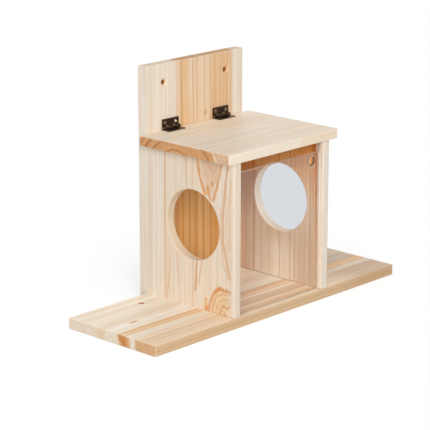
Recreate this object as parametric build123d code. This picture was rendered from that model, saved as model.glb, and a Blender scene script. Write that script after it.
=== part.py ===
from build123d import *
import os

# Squirrel feeder of edge-glued pine: a long base, a tall back board, two side boards
# with round doorways, a hinged lid that a squirrel lifts, and a clear sliding window.
# X runs along the base, +Y points to the back board, +Z points up. The origin is on
# the ground at the middle of the whole feeder's box.

# Whole feeder
base_length = 350.0
overall_depth = 130.0
overall_height = 240.0

# Boards
base_thickness = 11.0
back_thickness = 11.0
side_thickness = 10.0
lid_thickness = 10.0
house_width = 138.0
side_height = 152.5
lid_side_overhang = 9.5
lid_front_overhang = 2.0
lid_back_gap = 0.5
arris_radius = 0.8
side_front_radius = 1.5

# Round doorways in the side boards
doorway_diameter = 70.0
left_doorway_setback = 54.5
left_doorway_height = 82.8
right_doorway_setback = 56.9
right_doorway_height = 85.5

# Sliding window and the grooves that hold it
window_thickness = 3.0
window_height = 141.0
window_setback = 5.0
groove_depth = 4.0
groove_side_clearance = 0.3
groove_end_clearance = 0.5
window_arris = 0.3
pull_hole_diameter = 10.0
pull_hole_side_inset = 10.7
pull_hole_drop = 7.3

# Countersunk holes that a user screws through
mount_hole_diameter = 4.2
mount_countersink_diameter = 8.5
hang_hole_spacing = 88.0
hang_hole_drop = 19.0
base_hole_spacing = 189.0
base_hole_setback = 17.0

# Butt hinges
hinge_length = 23.0
hinge_spacing = 72.0
leaf_reach = 9.0
leaf_thickness = 0.8
leaf_corner_radius = 0.8
leaf_hole_spacing = 15.2
leaf_hole_reach = 5.0
knuckle_diameter = 3.4
knuckle_count = 5
knuckle_side_gap = 0.25
knuckle_standoff = 0.2
knuckle_swing_gap = 0.3
pin_diameter = 1.8
pin_running_clearance = 0.05
pin_head_diameter = 2.8
pin_head_height = 0.6
pin_head_gap = 0.1

# Hinge screws
hinge_screw_head = 4.0
hinge_screw_shank = 2.2
hinge_screw_length = 8.0
hinge_screw_point = 2.0

# Screws that hold the boards together
board_screw_head = 7.0
board_screw_shank = 3.5
board_screw_length = 30.0
board_screw_point = 5.0
board_screw_sink = 0.3
side_screw_inset = 25.0
back_screw_low = 30.0
back_screw_top_drop = 30.0
back_base_screw_spacing = 70.0

# Every screw
screw_seat_clearance = 0.1
recess_depth_share = 0.7
recess_length_share = 0.62
recess_width_share = 0.16

# How far a cutting tool runs past the face that it cuts
cut_overrun = 1.0

# Places that follow from the sizes
back_rear_y = overall_depth / 2
back_front_y = back_rear_y - back_thickness
lid_front_y = -overall_depth / 2
base_front_y = lid_front_y + lid_front_overhang
base_depth = back_front_y - base_front_y
side_inner_x = house_width / 2 - side_thickness
side_middle_x = house_width / 2 - side_thickness / 2
side_top_z = base_thickness + side_height
lid_top_z = side_top_z + lid_thickness
window_front_y = base_front_y + window_setback
window_back_y = window_front_y + window_thickness
window_top_z = base_thickness + window_height
window_half_width = side_inner_x + groove_depth - groove_end_clearance
pull_hole_x = side_inner_x - pull_hole_side_inset
pull_hole_z = window_top_z - pull_hole_drop
hang_hole_z = overall_height - hang_hole_drop
base_hole_y = back_front_y - base_hole_setback
knuckle_radius = knuckle_diameter / 2
knuckle_bore_radius = pin_diameter / 2 + pin_running_clearance
hinge_axis_offset = knuckle_radius + knuckle_standoff
hinge_axis_y = back_front_y - hinge_axis_offset
hinge_axis_z = lid_top_z + hinge_axis_offset

MIN_MIN_MIN = (Align.MIN, Align.MIN, Align.MIN)


def block(x_low, x_high, y_low, y_high, z_low, z_high):
    """A plain block between two corners."""
    size = (x_high - x_low, y_high - y_low, z_high - z_low)
    return Pos(x_low, y_low, z_low) * Box(*size, align=MIN_MIN_MIN)


def screw_solid(head, shank, length, point, grow=0.0):
    """A countersunk screw whose head face is at z = 0 and whose point is below it."""
    head_radius = head / 2 + grow
    shank_radius = shank / 2 + grow
    outline = Polyline(
        (0, 0),
        (head_radius, 0),
        (shank_radius, shank_radius - head_radius),
        (shank_radius, point - length),
        (0, -length - grow),
        (0, 0),
    )
    return revolve(make_face(Plane.XZ * outline), Axis.Z)


def screw(head, shank, length, point):
    """A countersunk screw with a cross recess in its head."""
    body = screw_solid(head, shank, length, point)
    recess_depth = (head - shank) / 2 * recess_depth_share
    arm = Box(
        head * recess_length_share,
        head * recess_width_share,
        recess_depth * 2,
    )
    return body - arm - Rot(0, 0, 90) * arm


def screw_seat(head, shank, length, point):
    """The hole that a screw leaves in the pieces that it goes through."""
    shaft = screw_solid(head, shank, length, point, screw_seat_clearance)
    mouth = Cylinder(head / 2 + screw_seat_clearance, cut_overrun)
    return shaft + Pos(0, 0, cut_overrun / 2) * mouth


def board_screw():
    return screw(board_screw_head, board_screw_shank, board_screw_length, board_screw_point)


def board_screw_seat():
    return screw_seat(board_screw_head, board_screw_shank, board_screw_length, board_screw_point)


def hinge_screw():
    return screw(hinge_screw_head, hinge_screw_shank, hinge_screw_length, hinge_screw_point)


def hinge_screw_seat():
    return screw_seat(hinge_screw_head, hinge_screw_shank, hinge_screw_length, hinge_screw_point)


def base_screw_places(hand):
    """Screws driven up through the base into one side board."""
    front = base_front_y + side_screw_inset
    rear = back_front_y - side_screw_inset
    return [
        Pos(hand * side_middle_x, y, board_screw_sink) * Rot(180, 0, 0) for y in (front, rear)
    ]


def back_screw_places(hand):
    """Screws driven from behind through the back board into one side board."""
    low = base_thickness + back_screw_low
    high = side_top_z - back_screw_top_drop
    return [
        Pos(hand * side_middle_x, back_rear_y - board_screw_sink, z) * Rot(-90, 0, 0)
        for z in (low, high)
    ]


def back_base_screw_places():
    """Screws driven from behind through the back board into the base's edge."""
    return [
        Pos(hand * back_base_screw_spacing / 2, back_rear_y - board_screw_sink, base_thickness / 2)
        * Rot(-90, 0, 0)
        for hand in (-1, 1)
    ]


def wall_leaf_screw_places(hand):
    """Hinge screws driven backwards through a wall leaf, left hole first."""
    return [
        Pos(
            hand * hinge_spacing / 2 + end * leaf_hole_spacing / 2,
            back_front_y - leaf_thickness,
            hinge_axis_z + leaf_hole_reach,
        )
        * Rot(90, 0, 0)
        for end in (-1, 1)
    ]


def lid_leaf_screw_places(hand):
    """Hinge screws driven down through a lid leaf, left hole first."""
    return [
        Pos(
            hand * hinge_spacing / 2 + end * leaf_hole_spacing / 2,
            hinge_axis_y - leaf_hole_reach,
            lid_top_z + leaf_thickness,
        )
        for end in (-1, 1)
    ]


def wall_screws_fitted(hand):
    """The wall leaf's screws: the left hinge's right hole is left empty."""
    places = wall_leaf_screw_places(hand)
    return places[:1] if hand < 0 else places


def mount_hole(board_thickness):
    """A countersunk through hole, its wide mouth at z = 0 and its bore below."""
    bore = mount_hole_diameter / 2
    mouth = mount_countersink_diameter / 2
    through = board_thickness + cut_overrun
    outline = Polyline(
        (0, cut_overrun),
        (mouth, cut_overrun),
        (mouth, 0),
        (bore, bore - mouth),
        (bore, -through),
        (0, -through),
        (0, cut_overrun),
    )
    return revolve(make_face(Plane.XZ * outline), Axis.Z)


def cut_seats(piece, places, seat):
    for place in places:
        piece -= place * seat
    return piece


def group(solids):
    return Compound(children=list(solids))


def base_board():
    half = base_length / 2
    board = block(-half, half, base_front_y, back_front_y, 0, base_thickness)
    front = board.edges().group_by(Axis.Y)[0]
    ends = board.edges().filter_by(Axis.Y)
    board = fillet(front + ends, arris_radius)
    for hand in (-1, 1):
        board -= Pos(hand * base_hole_spacing / 2, base_hole_y, base_thickness) * mount_hole(base_thickness)
        board = cut_seats(board, base_screw_places(hand), board_screw_seat())
    return cut_seats(board, back_base_screw_places(), board_screw_seat())


def back_panel():
    half = house_width / 2
    board = block(-half, half, back_front_y, back_rear_y, 0, overall_height)
    top = board.edges().group_by(Axis.Z)[-1]
    rear = board.edges().filter_by(Axis.Z).group_by(Axis.Y)[-1]
    board = fillet(top + rear, arris_radius)
    for hand in (-1, 1):
        place = Pos(hand * hang_hole_spacing / 2, back_front_y, hang_hole_z)
        board -= place * Rot(90, 0, 0) * mount_hole(back_thickness)
        board = cut_seats(board, back_screw_places(hand), board_screw_seat())
        board = cut_seats(board, wall_screws_fitted(hand), hinge_screw_seat())
    return cut_seats(board, back_base_screw_places(), board_screw_seat())


def window_groove():
    """The upright groove of the right side board, open at the top for the window to leave."""
    return block(
        side_inner_x - cut_overrun,
        side_inner_x + groove_depth,
        window_front_y - groove_side_clearance,
        window_back_y + groove_side_clearance,
        base_thickness - cut_overrun,
        side_top_z + cut_overrun,
    )


def side_panel(hand):
    """One side board with its round doorway and the groove for the window."""
    setback = left_doorway_setback if hand < 0 else right_doorway_setback
    height = left_doorway_height if hand < 0 else right_doorway_height
    inner_face = Plane(
        origin=(side_inner_x, base_front_y, base_thickness), x_dir=(0, 1, 0), z_dir=(1, 0, 0)
    )
    outline = Rectangle(base_depth, side_height, align=(Align.MIN, Align.MIN))
    board = extrude(inner_face * outline, side_thickness)
    board = fillet(board.edges().filter_by(Axis.Z).group_by(Axis.Y)[0], side_front_radius)
    doorway = Pos(setback, height) * Circle(doorway_diameter / 2)
    board -= extrude(inner_face * doorway, side_thickness)
    board = fillet(board.edges().filter_by(GeomType.CIRCLE).filter_by(Plane.YZ), arris_radius)
    board -= window_groove()
    if hand < 0:
        board = mirror(board, about=Plane.YZ)
    board = cut_seats(board, base_screw_places(hand), board_screw_seat())
    return cut_seats(board, back_screw_places(hand), board_screw_seat())


def lid_board():
    half = house_width / 2 + lid_side_overhang
    board = block(-half, half, lid_front_y, back_front_y - lid_back_gap, side_top_z, lid_top_z)
    board = fillet(board.edges(), arris_radius)
    for hand in (-1, 1):
        board = cut_seats(board, lid_leaf_screw_places(hand), hinge_screw_seat())
    return board


def front_window():
    """The clear sheet that stands in the grooves, with its pull hole."""
    sheet = block(
        -window_half_width, window_half_width, window_front_y, window_back_y, base_thickness, window_top_z
    )
    sheet = chamfer(sheet.edges().group_by(Axis.Z)[-1], window_arris)
    hole = Rot(90, 0, 0) * Cylinder(pull_hole_diameter / 2, window_thickness * 2)
    return sheet - Pos(pull_hole_x, (window_front_y + window_back_y) / 2, pull_hole_z) * hole


def knuckle_spans(first):
    """Every second knuckle's ends along the hinge, measured from its middle."""
    pitch = hinge_length / knuckle_count
    spans = []
    for index in range(first, knuckle_count, 2):
        low = index * pitch - hinge_length / 2
        left_gap = knuckle_side_gap / 2 if index > 0 else 0
        right_gap = knuckle_side_gap / 2 if index < knuckle_count - 1 else 0
        spans.append((low + left_gap, low + pitch - right_gap))
    return spans


def hinge_leaf(first_knuckle):
    """A hinge leaf lying flat, its axis on the X axis and its plate towards -Y.

    The plate's underside is hinge_axis_offset below the axis.
    """
    half = hinge_length / 2
    floor = -hinge_axis_offset
    plate_edge = knuckle_radius + knuckle_swing_gap
    plate = block(-half, half, -leaf_reach, -plate_edge, floor, floor + leaf_thickness)
    far_corners = plate.edges().filter_by(Axis.Z).group_by(Axis.Y)[0]
    leaf = fillet(far_corners, leaf_corner_radius)
    for low, high in knuckle_spans(first_knuckle):
        tongue = block(low, high, -plate_edge, 0, floor, floor + leaf_thickness)
        barrel = Cylinder(knuckle_radius, high - low)
        leaf += tongue
        leaf += Pos((low + high) / 2, 0, 0) * Rot(0, 90, 0) * barrel
    bore = Rot(0, 90, 0) * Cylinder(knuckle_bore_radius, hinge_length + cut_overrun)
    return leaf - bore


def hinge_lid_leaf(hand):
    leaf = Pos(hand * hinge_spacing / 2, hinge_axis_y, hinge_axis_z) * hinge_leaf(1)
    return cut_seats(leaf, lid_leaf_screw_places(hand), hinge_screw_seat())


def hinge_wall_leaf(hand):
    """The leaf on the back board: its plate stands up, with its flat side to the board."""
    standing = Rot(90, 0, 0) * Rot(0, 0, 180)
    leaf = Pos(hand * hinge_spacing / 2, hinge_axis_y, hinge_axis_z) * standing * hinge_leaf(0)
    return cut_seats(leaf, wall_leaf_screw_places(hand), hinge_screw_seat())


def hinge_pin(hand):
    """The pin with a rounded head at each end."""
    radius = pin_diameter / 2
    head = pin_head_diameter / 2
    shoulder = hinge_length / 2 + pin_head_gap
    tip = shoulder + pin_head_height
    outline = Polyline(
        (0, -tip),
        (radius, -tip),
        (head, -(shoulder + pin_head_height / 2)),
        (head, -shoulder),
        (radius, -shoulder),
        (radius, shoulder),
        (head, shoulder),
        (head, shoulder + pin_head_height / 2),
        (radius, tip),
        (0, tip),
        (0, -tip),
    )
    pin = revolve(make_face(Plane.XZ * outline), Axis.Z)
    return Pos(hand * hinge_spacing / 2, hinge_axis_y, hinge_axis_z) * Rot(0, 90, 0) * pin


def screws_at(places, one_screw):
    return group(place * one_screw for place in places)


def build():
    """Every piece of the feeder by the name of its node."""
    pieces = {
        "base_board": base_board(),
        "back_panel": back_panel(),
        "lid_board": lid_board(),
        "front_window": front_window(),
        "back_to_base_screws": screws_at(back_base_screw_places(), board_screw()),
    }
    for side, hand in (("left", -1), ("right", 1)):
        pieces[f"{side}_side_panel"] = side_panel(hand)
        pieces[f"{side}_hinge_wall_leaf"] = hinge_wall_leaf(hand)
        pieces[f"{side}_hinge_lid_leaf"] = hinge_lid_leaf(hand)
        pieces[f"{side}_hinge_pin"] = hinge_pin(hand)
        pieces[f"{side}_hinge_wall_screws"] = screws_at(wall_screws_fitted(hand), hinge_screw())
        pieces[f"{side}_hinge_lid_screws"] = screws_at(lid_leaf_screw_places(hand), hinge_screw())
        pieces[f"base_to_{side}_side_screws"] = screws_at(base_screw_places(hand), board_screw())
        pieces[f"back_to_{side}_side_screws"] = screws_at(back_screw_places(hand), board_screw())
    return pieces


os.makedirs("parts", exist_ok=True)
for node, piece in build().items():
    export_step(piece, f"parts/{node}.step")
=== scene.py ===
"""The looks of a wooden squirrel feeder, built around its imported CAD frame.

The boards, the clear window and the hinge leaves keep their CAD shape and get their finishes here. The screws
are made anew with a cross recess and a thread. Shader lengths are in millimetres, all others in metres. A
shade is red, green and blue from 0 to 255, as a picture shows it.
"""

from __future__ import annotations

import logging
import math
from dataclasses import dataclass, field
from enum import Enum

import bmesh
import bpy
from mathutils import Euler, Matrix, Vector

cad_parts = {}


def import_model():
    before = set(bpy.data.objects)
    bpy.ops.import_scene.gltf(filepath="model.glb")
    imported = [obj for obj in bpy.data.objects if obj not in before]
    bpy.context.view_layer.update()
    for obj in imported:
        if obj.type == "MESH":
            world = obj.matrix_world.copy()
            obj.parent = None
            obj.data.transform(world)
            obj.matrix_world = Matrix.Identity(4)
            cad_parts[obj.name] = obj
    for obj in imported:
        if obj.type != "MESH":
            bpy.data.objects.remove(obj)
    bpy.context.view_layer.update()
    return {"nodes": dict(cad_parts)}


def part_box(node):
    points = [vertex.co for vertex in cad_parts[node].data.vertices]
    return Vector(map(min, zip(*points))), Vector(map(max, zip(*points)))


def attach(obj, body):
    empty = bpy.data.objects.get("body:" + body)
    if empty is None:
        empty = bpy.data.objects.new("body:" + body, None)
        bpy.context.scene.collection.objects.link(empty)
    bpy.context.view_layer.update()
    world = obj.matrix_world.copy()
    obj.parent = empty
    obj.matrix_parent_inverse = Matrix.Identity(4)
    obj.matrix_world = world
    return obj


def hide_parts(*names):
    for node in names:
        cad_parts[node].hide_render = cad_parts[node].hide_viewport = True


LOG = logging.getLogger("squirrel_feeder")
Triple = tuple[float, float, float]
Rgb = Triple
Socket = bpy.types.NodeSocket
Value = Socket | float
Inputs = dict[str | int, object]
MILLIMETRES = 1000.0
NOWHERE = (0.0, 0.0, 0.0)
# The closed house's inner faces lie within this box.
INSIDE_LOW = (-59.3, -54.7, 10.7)
INSIDE_HIGH = (59.3, 54.3, 163.8)


def linear(shade: Rgb) -> Rgb:
    """Turn a shade into the linear values, from 0 to 1, that shaders work with."""
    shares = (value / 255 for value in shade)
    return tuple(share / 12.92 if share <= 0.04045 else ((share + 0.055) / 1.055) ** 2.4 for share in shares)


def new_material(name: str) -> bpy.types.Material:
    """Make an empty node material.

    Args:
        name: Its name.

    Returns:
        The material.
    """
    material = bpy.data.materials.new(name)
    material.use_nodes = True
    return material


class NodeBench:
    """Adds the nodes of one tree and links them."""

    def __init__(self, tree: bpy.types.NodeTree) -> None:
        """Start on an empty tree."""
        self.tree = tree
        tree.nodes.clear()

    def add(self, kind: str, inputs: Inputs | None = None, **settings: object) -> bpy.types.Node:
        """Add one node.

        Args:
            kind: The node's type name.
            inputs: Other nodes' outputs or plain values, by the input's name or number.
            settings: Attributes to set on the node.

        Returns:
            The new node.
        """
        node = self.tree.nodes.new(kind)
        for key, value in settings.items():
            setattr(node, key, value)
        for key, value in (inputs or {}).items():
            if isinstance(value, bpy.types.NodeSocket):
                self.tree.links.new(value, node.inputs[key])
            else:
                node.inputs[key].default_value = value
        return node

    def math(self, operation: str, *values: Value) -> Socket:
        """Work out one number from up to three by a Math node's operation."""
        return self.add("ShaderNodeMath", dict(enumerate(values)), operation=operation).outputs[0]

    def fold(self, operation: str, first: Value, *others: Value) -> Value:
        """Lead one operation through a row of numbers.

        Args:
            operation: The Math node's operation.
            first: The first number.
            others: The rest of the row.

        Returns:
            The result.
        """
        for other in others:
            first = self.math(operation, first, other)
        return first

    def times(self, *values: Value) -> Socket:
        """Multiply numbers."""
        return self.fold("MULTIPLY", *values)

    def plus(self, *values: Value) -> Socket:
        """Add numbers."""
        return self.fold("ADD", *values)

    def minus(self, first: Value, second: Value) -> Socket:
        """Take the second number from the first."""
        return self.math("SUBTRACT", first, second)

    def most(self, *values: Value) -> Socket:
        """Pick the largest number."""
        return self.fold("MAXIMUM", *values)

    def least(self, *values: Value) -> Socket:
        """Pick the smallest number."""
        return self.fold("MINIMUM", *values)

    def gap(self, first: Value, second: Value) -> Socket:
        """Find how far apart two numbers are."""
        return self.math("ABSOLUTE", self.minus(first, second))

    def line(self, value: Value, slope: Value, start: Value) -> Socket:
        """Multiply by the slope and add the start."""
        return self.math("MULTIPLY_ADD", value, slope, start)

    def vector(self, operation: str, first: object, second: object) -> Socket:
        """Work out a vector from two, or from a vector and a number when it scales."""
        inputs = {0: first, "Scale" if operation == "SCALE" else 1: second}
        return self.add("ShaderNodeVectorMath", inputs, operation=operation).outputs[0]

    def measure(self, operation: str, first: object, second: object = NOWHERE) -> Socket:
        """Work out a number from one or two vectors."""
        return self.add("ShaderNodeVectorMath", {0: first, 1: second}, operation=operation).outputs["Value"]

    def reach(self, first: Value, second: Value, centre: tuple[float, float] = (0.0, 0.0)) -> Socket:
        """Measure how far a place in a plane is from a centre."""
        return self.measure("DISTANCE", self.join(first, second, 0.0), (*centre, 0.0))

    def split(self, vector: Socket) -> dict[str, Socket]:
        """Take a vector apart into its X, Y and Z."""
        outputs = self.add("ShaderNodeSeparateXYZ", {0: vector}).outputs
        return {name: outputs[name] for name in "XYZ"}

    def join(self, *parts: Value) -> Socket:
        """Put three numbers together into a vector."""
        return self.add("ShaderNodeCombineXYZ", dict(enumerate(parts))).outputs[0]

    def place(self) -> Socket:
        """Give the place on the object, in millimetres."""
        return self.vector("SCALE", self.add("ShaderNodeTexCoord").outputs["Object"], MILLIMETRES)

    def normal(self) -> dict[str, Socket]:
        """Give the way that the surface faces, in the object's axes."""
        return self.split(self.add("ShaderNodeTexCoord").outputs["Normal"])

    def noise(self, vector: Socket, scale: float, detail: float = 2.0, stir: float = 0.0,
              output: str = "Fac") -> Socket:
        """Add a cloudy noise in space.

        Args:
            vector: Where it is read.
            scale: Clouds per unit of the vector.
            detail: How many finer layers it has.
            stir: How much it is stirred.
            output: Fac for one noise, Color for three.

        Returns:
            The noise, from 0 to 1.
        """
        inputs = {"Vector": vector, "Scale": scale, "Detail": detail, "Distortion": stir}
        return self.add("ShaderNodeTexNoise", inputs).outputs[output]

    def noise_along(self, value: Socket, scale: float, detail: float) -> Socket:
        """Add a noise that changes with one number only."""
        inputs = {"W": value, "Scale": scale, "Detail": detail}
        return self.add("ShaderNodeTexNoise", inputs, noise_dimensions="1D").outputs["Fac"]

    def rise(self, value: Value, low: float, high: float) -> Socket:
        """Rise smoothly from 0 at low to 1 at high; it falls where low is the larger.

        Args:
            value: What is measured.
            low: Where the result is 0.
            high: Where the result is 1.

        Returns:
            A number from 0 to 1.
        """
        turned = low > high
        inputs = {"Value": value, "From Min": min(low, high), "From Max": max(low, high),
                  "To Min": float(turned), "To Max": float(not turned)}
        return self.add("ShaderNodeMapRange", inputs, interpolation_type="SMOOTHSTEP").outputs["Result"]

    def blend(self, factor: Value, *colours: object) -> Socket:
        """Mix two colours.

        Args:
            factor: The second one's share.
            colours: Two shades or outputs.

        Returns:
            The mixed colour.
        """
        first, second = (colour if isinstance(colour, bpy.types.NodeSocket) else (*linear(colour), 1.0)
                         for colour in colours)
        return self.add("ShaderNodeMix", {0: factor, 6: first, 7: second}, data_type="RGBA").outputs[2]

    def between(self, factor: Value, first: object, second: object) -> Socket:
        """Mix two vectors of plain numbers, which may be negative."""
        return self.add("ShaderNodeMix", {0: factor, 4: first, 5: second}, data_type="VECTOR").outputs[1]

    def bump(self, height: Socket, strength: float, distance: float) -> Socket:
        """Tilt the normal by a height from 0 to 1, where 1 stands for a distance in metres."""
        inputs = {"Height": height, "Strength": strength, "Distance": distance}
        return self.add("ShaderNodeBump", inputs).outputs["Normal"]

    def mix_shaders(self, factor: Socket, first: bpy.types.Node, second: bpy.types.Node) -> Socket:
        """Mix two shaders by the second one's share."""
        inputs = {0: factor, 1: first.outputs[0], 2: second.outputs[0]}
        return self.add("ShaderNodeMixShader", inputs).outputs[0]

    def show(self, shader: Socket) -> None:
        """Lead a shader to the material's output."""
        self.add("ShaderNodeOutputMaterial", {"Surface": shader})


class Grain(Enum):
    """The axes along the fibres, across the board's face and through its thickness."""

    LYING = "XYZ"
    STANDING_BACK = "ZXY"
    STANDING_SIDE = "ZYX"


class Cut(Enum):
    """The side of a board that a line is drawn on: its two directions, and which way the wood there faces."""

    FACE = ("along", "across", "depth")
    END = ("across", "depth", "along")
    EDGE = ("along", "depth", "across")


class Weave(Enum):
    """The noises in the wood: their clouds' size along, across and through, and their detail."""

    SLOW = (95.0, 30.0, 30.0, 1.5)
    QUICK = (26.0, 9.0, 9.0, 2.0)
    RIPPLE = (22.0, 0.9, 0.9, 2.0)
    BROAD = (140.0, 2.6, 2.6, 3.0)
    FINE = (16.0, 0.42, 0.42, 2.0)
    CLOUD = (90.0, 22.0, 22.0, 2.0)
    PORES = (0.5, 0.6, 0.6, 2.0)
    SAW = (9.0, 0.8, 40.0, 2.0)
    TORN = (40.0, 1.4, 1.4, 2.0)
    UNEVEN = (12.0, 6.0, 6.0, 2.0)
    FLECKS = (3.5, 0.34, 0.5, 1.0)


@dataclass(frozen=True)
class Stave:
    """One glued strip of a board.

    Attributes:
        edge: Where the strip ends across the board, on its high side.
        shades: Pale early wood, warmer early wood, the dark lines of late wood, and the fibres' cut ends.
        pith: Where the middle of the tree lay, across and through, and where along the board that was.
        rings: How far the pith moves across for each millimetre along, how far its depth moves with the
            fourth power of the way along, and the spacing between rings.
        look: How dark the lines are, and how much of the warm shade shows.
    """

    edge: float
    shades: tuple[Rgb, Rgb, Rgb, Rgb]
    pith: Triple
    rings: Triple
    look: tuple[float, float]

    def table(self) -> dict[str, Triple]:
        """Give its values as triples by name."""
        shades = dict(zip(("pale", "warm", "late", "end"), map(linear, self.shades)))
        return shades | {"pith": self.pith, "rings": self.rings, "look": (*self.look, 0.0)}


@dataclass(frozen=True)
class Streak:
    """A single grain line or band, from one place on the face to another.

    Attributes:
        start: Along and across.
        finish: Along and across.
        width: Its full width.
        shade: Its colour.
        strength: How much it covers.
        fade: Over how many millimetres its ends and sides die away.
    """

    start: tuple[float, float]
    finish: tuple[float, float]
    width: float
    shade: Rgb
    strength: float
    fade: float = 8.0


@dataclass(frozen=True)
class GrainLine:
    """A growth line that bends.

    Attributes:
        points: The places it goes through, in the cut's two directions.
        width: Its full width.
        shade: Its colour.
        strength: How much it covers.
        soft: How much of its half width is soft.
        ragged: How far its outline is torn along the cut's first direction.
        cut: Where it is drawn.
    """

    points: tuple[tuple[float, float], ...]
    width: float
    shade: Rgb
    strength: float
    soft: float = 0.9
    ragged: float = 4.0
    cut: Cut = Cut.FACE


@dataclass(frozen=True)
class Seam:
    """A change of strip part of the way along a board's narrow side.

    Attributes:
        start: One end of the seam, along and through.
        finish: Its other end. Seen from the start, the second strip is on its right.
        shade: The second strip's colour.
        strength: How much it covers.
    """

    start: tuple[float, float]
    finish: tuple[float, float]
    shade: Rgb
    strength: float


@dataclass(frozen=True)
class Mark:
    """An oval on a board's face.

    Attributes:
        place: Along and across.
        size: Half its length and half its width.
    """

    place: tuple[float, float]
    size: tuple[float, float]


@dataclass(frozen=True)
class Flame(Mark):
    """A place where the rings are cut flat, so that their lines are darker by a gain."""

    gain: float


@dataclass(frozen=True)
class Knot(Mark):
    """A small knot of one shade that the grain flows round."""

    shade: Rgb


@dataclass(frozen=True)
class Patch(Knot):
    """A soft cloud of a shade that covers the wood by its strength. The grain doesn't heed it.

    It stands for grain tone and for painted light and shade.
    """

    strength: float


@dataclass(frozen=True)
class DrilledHole:
    """A drilled and countersunk hole, whose wall is darker than the face: end grain, and painted shade.

    Attributes:
        place: Along and across.
        radius: Of the countersink's rim.
        cone: The colour of the countersink, which takes in its painted light and shade.
        shade: The colour of the bore's wall, a painted shade.
        bore: The radius of the hole below the countersink.
    """

    place: tuple[float, float]
    radius: float
    cone: Rgb
    shade: Rgb = (150, 92, 46)
    bore: float = 2.1


@dataclass(frozen=True)
class PineFinish:
    """Sanded, unpainted pine, glued up from two or more staves.

    Attributes:
        name: The material's name.
        grain: Which way the fibres run.
        seed: Moves every noise, so no two boards are alike.
        staves: From the low side to the high side.
        inside: Painted light and shade: what the faces inside the house are multiplied by, low down.
        inside_top: The same painted light and shade under the lid.
        streaks: Single straight lines and bands.
        lines: Single lines that bend.
        grain_and_light_patches: Soft clouds of grain tone and of painted light and shade.
        seams: Changes of strip on the narrow sides.
        flames: Places with bold rings.
        knots: Small knots.
        holes: Drilled holes.
        end_gain: How much darker the lines are on the cut ends.
        doorway: Along, across and radius of a round opening, or None.
        rim: A colour painted on the doorway's wall for the light and shade it gets, or None.
    """

    name: str
    grain: Grain
    seed: float
    staves: tuple[Stave, ...]
    # Painted light and shade in the house: darker, and more orange under the lid.
    inside: Rgb = (1.0, 0.93, 0.78)
    inside_top: Rgb = (0.98, 0.67, 0.32)
    streaks: tuple[Streak, ...] = ()
    lines: tuple[GrainLine, ...] = ()
    grain_and_light_patches: tuple[Patch, ...] = ()
    seams: tuple[Seam, ...] = ()
    flames: tuple[Flame, ...] = ()
    knots: tuple[Knot, ...] = ()
    holes: tuple[DrilledHole, ...] = ()
    end_gain: float = 0.45
    doorway: Triple | None = None
    rim: Rgb | None = None

    def material(self, low: Vector, high: Vector) -> bpy.types.Material:
        """Build the material for the board between two corners.

        Args:
            low: The board's lowest corner, in metres.
            high: The board's highest corner, in metres.

        Returns:
            The finished material.
        """
        material = new_material(self.name)
        PineBoard(material.node_tree, self, low * MILLIMETRES, high * MILLIMETRES).build()
        return material


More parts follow.
